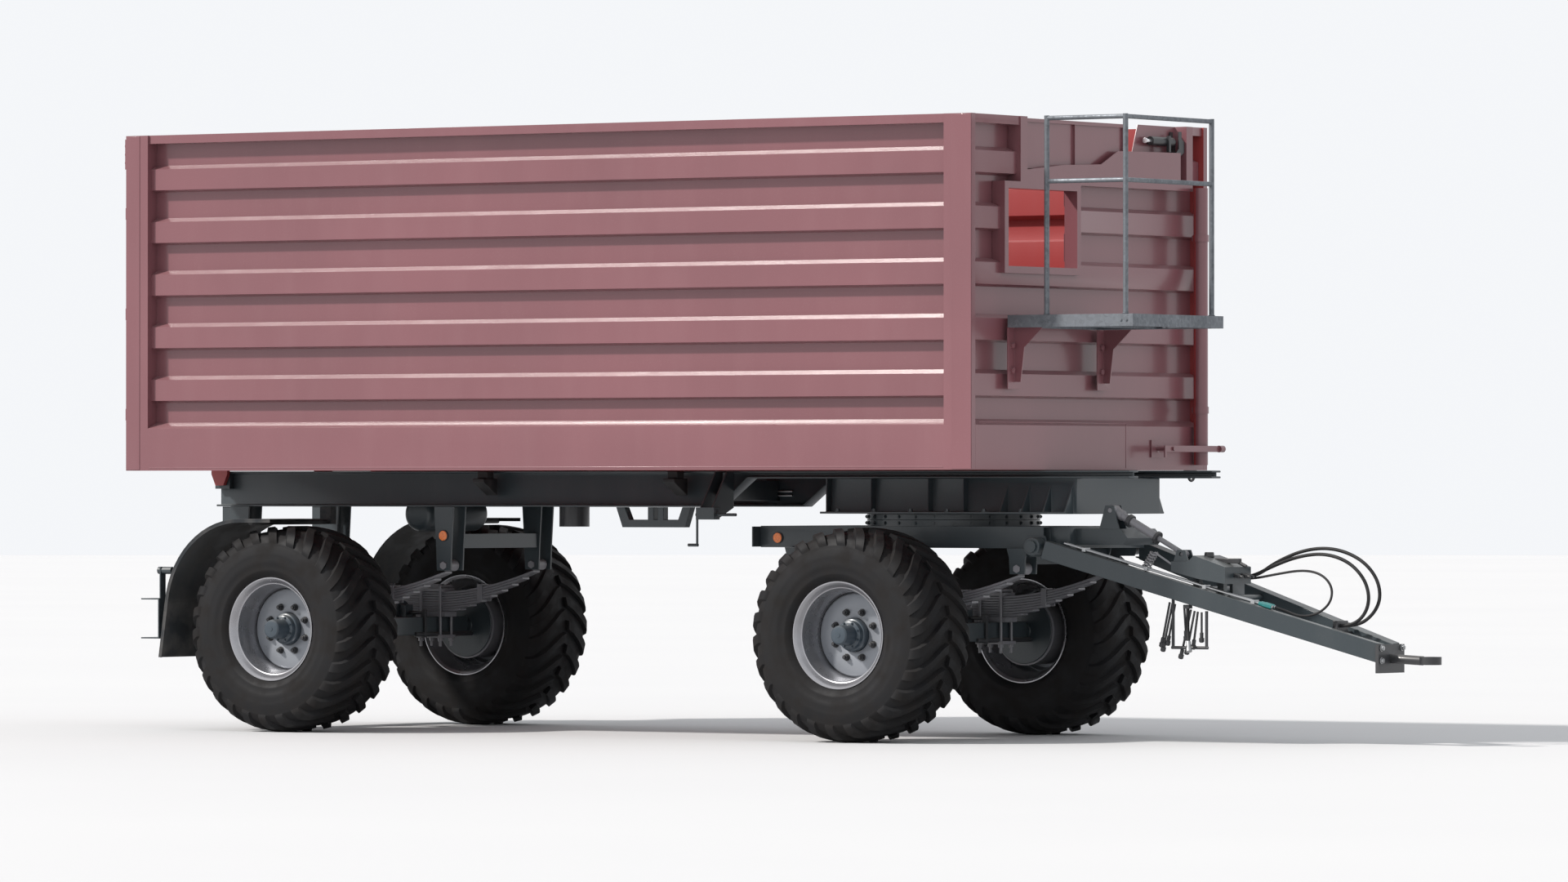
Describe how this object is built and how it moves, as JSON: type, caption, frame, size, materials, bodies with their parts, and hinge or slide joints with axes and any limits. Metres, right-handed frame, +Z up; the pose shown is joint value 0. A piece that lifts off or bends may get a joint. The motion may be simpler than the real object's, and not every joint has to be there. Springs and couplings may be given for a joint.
{
  "type": "grain cart",
  "caption": "Two-axle drawbar trailer for grain: a ribbed open-topped tipping body on a sprung chassis, steered by a turntable bogie with an A-frame drawbar",
  "frame": {"origin": "on the ground, at the middle of the cart's length and width", "axes": "+X towards the towing eye, +Y to the cart's left, +Z up"},
  "size_m": [8.32, 2.55, 3.5478],
  "materials": {
    "body_paint": "satin, lightly weathered",
    "chassis_paint": "satin",
    "dark_paint": "satin",
    "rim_paint": "silver satin",
    "galvanised": "galvanised",
    "steel": "zinc plated",
    "chrome_rod": "polished",
    "rubber": "matte",
    "tyre": "matte",
    "lamp_lens": "gloss"
  },
  "bodies": {
    "chassis": {"frame_rail_right": "chassis_paint", "frame_rail_left": "chassis_paint", "frame_cross_members": "chassis_paint", "turntable_support": "chassis_paint", "rear_spring_hangers": "chassis_paint", "rear_springs": "chassis_paint", "rear_axle": "chassis_paint", "rear_mudguards": "chassis_paint", "rear_light_bar": "chassis_paint", "rear_lamps": "lamp_lens", "air_reservoir": "chassis_paint", "chock_carrier": "chassis_paint", "brake_crank_housing": "chassis_paint", "body_rest_pads": "rubber"},
    "steering_bogie": {"bogie_frame": "chassis_paint", "bogie_hangers": "chassis_paint", "front_springs": "chassis_paint", "front_axle": "chassis_paint"},
    "drawbar": {"drawbar_beam_right": "chassis_paint", "drawbar_beam_left": "chassis_paint", "drawbar_crosspiece": "chassis_paint", "towing_eye": "dark_paint", "drawbar_pipes": "steel", "hose_stand": "steel", "hose_clamps": "dark_paint", "hose_coupling": "steel", "hose_outer": "rubber", "hose_inner": "rubber", "hose_small": "rubber", "hose_hanging": "rubber"},
    "strut_barrel": {"strut_barrel": "dark_paint"},
    "strut_rod": {"strut_rod": "chrome_rod"},
    "tipping_body": {"body_floor": "body_paint", "side_wall_right": "body_paint", "side_wall_left": "body_paint", "front_wall": "body_paint", "platform_frame": "galvanised", "platform_grating": "galvanised", "platform_railing": "galvanised", "flap_lock_cylinder": "dark_paint"},
    "front_flap": {"front_flap": "body_paint"},
    "flap_lock_bolt": {"flap_lock_bolt": "steel"},
    "lock_lever": {"lock_lever": "steel"},
    "tailgate": {"tailgate": "body_paint"},
    "grain_slide": {"grain_slide": "steel"},
    "brake_crank": {"brake_crank": "chassis_paint"},
    "ram_barrel": {"ram_barrel": "dark_paint"},
    "ram_stage_1": {"ram_stage_1": "chrome_rod"},
    "ram_stage_2": {"ram_stage_2": "chrome_rod"},
    "ram_stage_3": {"ram_stage_3": "chrome_rod"},
    "ram_stage_4": {"ram_stage_4": "chrome_rod"},
    "ram_stage_5": {"ram_stage_5": "chrome_rod"},
    "wheel_front_left": {"wheel_front_left": "rim_paint", "tyre_front_left": "tyre"},
    "wheel_front_right": {"wheel_front_right": "rim_paint", "tyre_front_right": "tyre"},
    "wheel_rear_left": {"wheel_rear_left": "rim_paint", "tyre_rear_left": "tyre"},
    "wheel_rear_right": {"wheel_rear_right": "rim_paint", "tyre_rear_right": "tyre"}
  },
  "joints": [
    {"name": "steering_turn", "type": "hinge", "parent": "chassis", "child": "steering_bogie", "pos_m": [0.934, 0, 1.2615], "axis": [0, 0, 1], "range_deg": [-80, 80]},
    {"name": "drawbar_pitch", "type": "hinge", "parent": "steering_bogie", "child": "drawbar", "pos_m": [1.823, 0, 1.113], "axis": [0, -1, 0], "range_deg": [-11, 12]},
    {"name": "strut_swing", "type": "hinge", "parent": "steering_bogie", "child": "strut_barrel", "pos_m": [2.208, -0.3, 1.318], "axis": [0, -1, 0], "range_deg": [-17, 18.5]},
    {"name": "strut_slide", "type": "slide", "parent": "strut_barrel", "child": "strut_rod", "axis": [0.8839, 0, -0.4676], "range_m": [-0.078, 0.072]},
    {"name": "body_tip", "type": "hinge", "parent": "chassis", "child": "tipping_body", "pos_m": [-3.997, 0, 1.5], "axis": [0, -1, 0], "range_deg": [0, 38]},
    {"name": "ram_tilt", "type": "hinge", "parent": "chassis", "child": "ram_barrel", "pos_m": [-1.747, 0, 1.42], "axis": [0, -1, 0], "range_deg": [0, 20]},
    {"name": "ram_extend_1", "type": "slide", "parent": "ram_barrel", "child": "ram_stage_1", "axis": [0, 0, 1], "range_m": [0, 0.292]},
    {"name": "ram_extend_2", "type": "slide", "parent": "ram_stage_1", "child": "ram_stage_2", "axis": [0, 0, 1], "range_m": [0, 0.292]},
    {"name": "ram_extend_3", "type": "slide", "parent": "ram_stage_2", "child": "ram_stage_3", "axis": [0, 0, 1], "range_m": [0, 0.292]},
    {"name": "ram_extend_4", "type": "slide", "parent": "ram_stage_3", "child": "ram_stage_4", "axis": [0, 0, 1], "range_m": [0, 0.292]},
    {"name": "ram_extend_5", "type": "slide", "parent": "ram_stage_4", "child": "ram_stage_5", "axis": [0, 0, 1], "range_m": [0, 0.292]},
    {"name": "tailgate_swing", "type": "hinge", "parent": "tipping_body", "child": "tailgate", "pos_m": [-4.093, 0, 3.508], "axis": [0, 1, 0], "range_deg": [0, 75]},
    {"name": "grain_slide_lift", "type": "slide", "parent": "tailgate", "child": "grain_slide", "axis": [0, 0, 1], "range_m": [0, 0.33]},
    {"name": "front_flap_fold", "type": "hinge", "parent": "tipping_body", "child": "front_flap", "pos_m": [1.833, 0, 3.236], "axis": [0, -1, 0], "range_deg": [0, 88]},
    {"name": "flap_lock_slide", "type": "slide", "parent": "tipping_body", "child": "flap_lock_bolt", "axis": [0, -1, 0], "range_m": [0, 0.05]},
    {"name": "lock_lever_turn", "type": "hinge", "parent": "tipping_body", "child": "lock_lever", "pos_m": [1.992, 0.7, 1.672], "axis": [1, 0, 0], "range_deg": [0, 60]},
    {"name": "brake_crank_turn", "type": "hinge", "parent": "chassis", "child": "brake_crank", "pos_m": [-0.39, -0.69, 1.29], "axis": [1, 0, 0], "continuous": true},
    {"name": "wheel_front_left_spin", "type": "hinge", "parent": "steering_bogie", "child": "wheel_front_left", "pos_m": [0.934, 0.975, 0.61], "axis": [0, 1, 0], "continuous": true},
    {"name": "wheel_front_right_spin", "type": "hinge", "parent": "steering_bogie", "child": "wheel_front_right", "pos_m": [0.934, -0.975, 0.61], "axis": [0, 1, 0], "continuous": true},
    {"name": "wheel_rear_left_spin", "type": "hinge", "parent": "chassis", "child": "wheel_rear_left", "pos_m": [-3.092, 0.975, 0.61], "axis": [0, 1, 0], "continuous": true},
    {"name": "wheel_rear_right_spin", "type": "hinge", "parent": "chassis", "child": "wheel_rear_right", "pos_m": [-3.092, -0.975, 0.61], "axis": [0, 1, 0], "continuous": true}
  ],
  "couplings": [
    {"joint": "strut_swing", "follows": "drawbar_pitch", "ratio": 1.48},
    {"joint": "strut_slide", "follows": "drawbar_pitch", "m_per_rad": -0.35237},
    {"joint": "ram_tilt", "follows": "body_tip", "ratio": 0.5124},
    {"joint": "ram_extend_1", "follows": "body_tip", "m_per_rad": 0.43846},
    {"joint": "ram_extend_2", "follows": "body_tip", "m_per_rad": 0.43846},
    {"joint": "ram_extend_3", "follows": "body_tip", "m_per_rad": 0.43846},
    {"joint": "ram_extend_4", "follows": "body_tip", "m_per_rad": 0.43846},
    {"joint": "ram_extend_5", "follows": "body_tip", "m_per_rad": 0.43846}
  ]
}
